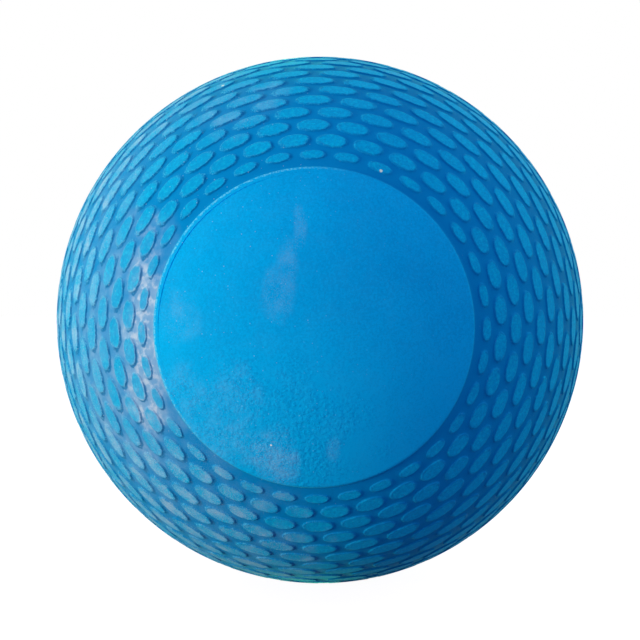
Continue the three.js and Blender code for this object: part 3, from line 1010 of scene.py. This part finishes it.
# The painted shadow beside the pebbles
groove_colour = cover_rubber.blend(lee_shadow, groove_colour, LEE_SHADOW_BLUE)
cover_colour = cover_rubber.blend(panel_share, PEBBLE_BLUE, PANEL_BLUE)
cover_shade = cover_rubber.blend(panel_share, PEBBLE_SHADE, PANEL_SHADE)
cover_colour = cover_rubber.blend(shade, cover_colour, cover_shade)
cover_colour = cover_rubber.blend(raised, groove_colour, cover_colour)
cover_colour = cover_rubber.blend(rubbed * RUB_SHARE, cover_colour, RUBBED_TEAL)
# The pale edges: powder and a painted highlight
cover_colour = cover_rubber.blend(edge * speckle * EDGE_BLOOM, cover_colour, EDGE_HIGHLIGHT_PALE)
# Powder, with a painted sheen of grazing light on the rows
cover_colour = cover_rubber.blend(powder_and_sheen, cover_colour, BLOOM_AND_SHEEN_PALE)
cover_colour = cover_rubber.blend(dust, cover_colour, DUST_LAVENDER)
cover_colour = cover_rubber.blend(wisp, cover_colour, WISP_WHITE)
# The worn rim, with a painted highlight on its lit side
cover_colour = cover_rubber.blend(worn_rim_and_highlight, cover_colour, WORN_RIM_HIGHLIGHT_PALE)
relief = grain + leather * (grain * LEATHER_BUMP + creases * CREASE_BUMP)
cover_rubber.surface(
    Base_Color=cover_rubber.blend(speck, cover_colour, CHIP_WHITE),
    Roughness=speckle * COVER_ROUGHNESS_SPREAD + COVER_ROUGHNESS,
    Normal=cover_rubber.bump(relief, COVER_BUMP),
    Specular_IOR_Level=COVER_SPECULAR,
    Specular_Tint=COVER_SPECULAR_TINT,
    Sheen_Weight=COVER_SHEEN,
    Sheen_Roughness=COVER_SHEEN_ROUGHNESS,
    Sheen_Tint=COVER_SHEEN_TINT,
)

front_half = half_cover("front_half", side=-1, stagger=0, mouth_radius=0)
rear_half = half_cover("rear_half", side=1, stagger=1, mouth_radius=VALVE_HOLE_RADIUS)
for half, node in ((front_half, "front_cover"), (rear_half, "rear_cover")):
    half.data.materials.append(cover_rubber.owner)
    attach(half, "ball")
    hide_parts(node)

# Floor
# A plain table top. It shows white to the camera and in shiny surfaces, still takes the shadow, and throws
# only a dim light back at the ball.
FLOOR_SIZE = 8
FLOOR_DIM = (0.27, 0.19, 0.29, 1)
FLOOR_GLOW = (0.96, 0.96, 0.96, 1)
FLOOR_ROUGHNESS = 0.9
NO_GLOW = (0, 0, 0, 1)


def seen_rays(finish):
    """1 for a ray from the camera, a shiny surface or a clear one, and 0 for one that lights a surface."""
    seen = finish.node("ShaderNodeLightPath", output="Is Camera Ray")
    for kind in ("Is Glossy Ray", "Is Transmission Ray"):
        seen = seen.maths("MAXIMUM", seen, finish.node("ShaderNodeLightPath", output=kind))
    return seen


bpy.ops.object.select_all(action="DESELECT")
bpy.ops.mesh.primitive_plane_add(size=FLOOR_SIZE, location=(0, 0, -BALL_RADIUS))
table_top = bpy.context.active_object
table_top.name = "table_top"
table_white = new_finish("table_white")
glow = table_white.blend(seen_rays(table_white), NO_GLOW, FLOOR_GLOW)
table_white.surface(
    Base_Color=FLOOR_DIM,
    Roughness=FLOOR_ROUGHNESS,
    Specular_IOR_Level=0,
    Emission_Color=glow,
    Emission_Strength=1,
)
table_top.data.materials.append(table_white.owner)

# Light
# A low, wide soft box at the front left, level with the ball, a weaker one high at the left, large cool and
# greenish ones high at the right and behind it, and a dim cool room round them. Sizes are width and height.
ROOM_COOL = (0.34, 0.375, 0.61, 1)
ROOM_WHITE = (1, 1, 1, 1)
WARM = (1.0, 0.98, 0.66)
COOL = (0.45, 1.0, 0.8)
LIME = (0.95, 1.0, 0.42)
GREEN = (0.55, 1.0, 0.4)
LAMP_DISTANCE = 1.1
LAMPS = {
    "key_box": {"towards": (-0.857, -0.515, -0.03), "size": (0.40, 0.14), "watts": 8.5, "colour": WARM},
    "side_box": {"towards": (-0.77, 0.22, 0.60), "size": (0.6, 0.6), "watts": 3.9, "colour": LIME},
    "fill_box": {"towards": (0.85, -0.10, 0.55), "size": (1.8, 1.8), "watts": 3.3, "colour": COOL},
    "back_box": {"towards": (0.62, 0.45, 0.64), "size": (1.8, 1.8), "watts": 6.4, "colour": GREEN},
}

room = Finish(bpy.data.worlds.new("room"))
room_colour = room.blend(seen_rays(room), ROOM_COOL, ROOM_WHITE)
room.feed(room.tree.nodes["Background"].inputs["Color"], room_colour)
bpy.context.scene.world = room.owner
for name, lamp in LAMPS.items():
    towards = Vector(lamp["towards"]).normalized()
    bpy.ops.object.light_add(type="AREA", location=towards * LAMP_DISTANCE)
    box = bpy.context.active_object
    box.name = name
    box.rotation_euler = towards.to_track_quat("Z", "Y").to_euler()
    box.data.shape = "RECTANGLE"
    box.data.size, box.data.size_y = lamp["size"]
    box.data.energy = lamp["watts"]
    box.data.color = lamp["colour"]
bpy.context.scene.view_settings.view_transform = "Standard"

# Camera
# Almost straight in front of the panel, a touch to the right and above. Its distance is in ball radii, and
# its lens in pixels of the square picture.
CAMERA_AZIMUTH = math.radians(1.39)
CAMERA_ELEVATION = math.radians(1.65)
CAMERA_RADII = 4.74
PICTURE_SIDE = 640
FOCAL_PIXELS = 1222
SENSOR_WIDTH = 36

level_share = math.cos(CAMERA_ELEVATION)
view_from = Vector((
    math.sin(CAMERA_AZIMUTH) * level_share,
    -math.cos(CAMERA_AZIMUTH) * level_share,
    math.sin(CAMERA_ELEVATION),
))
bpy.ops.object.camera_add(location=view_from * (CAMERA_RADII * BALL_RADIUS))
camera = bpy.context.active_object
camera.rotation_euler = view_from.to_track_quat("Z", "Y").to_euler()
camera.data.sensor_width = SENSOR_WIDTH
camera.data.lens = SENSOR_WIDTH * FOCAL_PIXELS / PICTURE_SIDE
bpy.context.scene.camera = camera
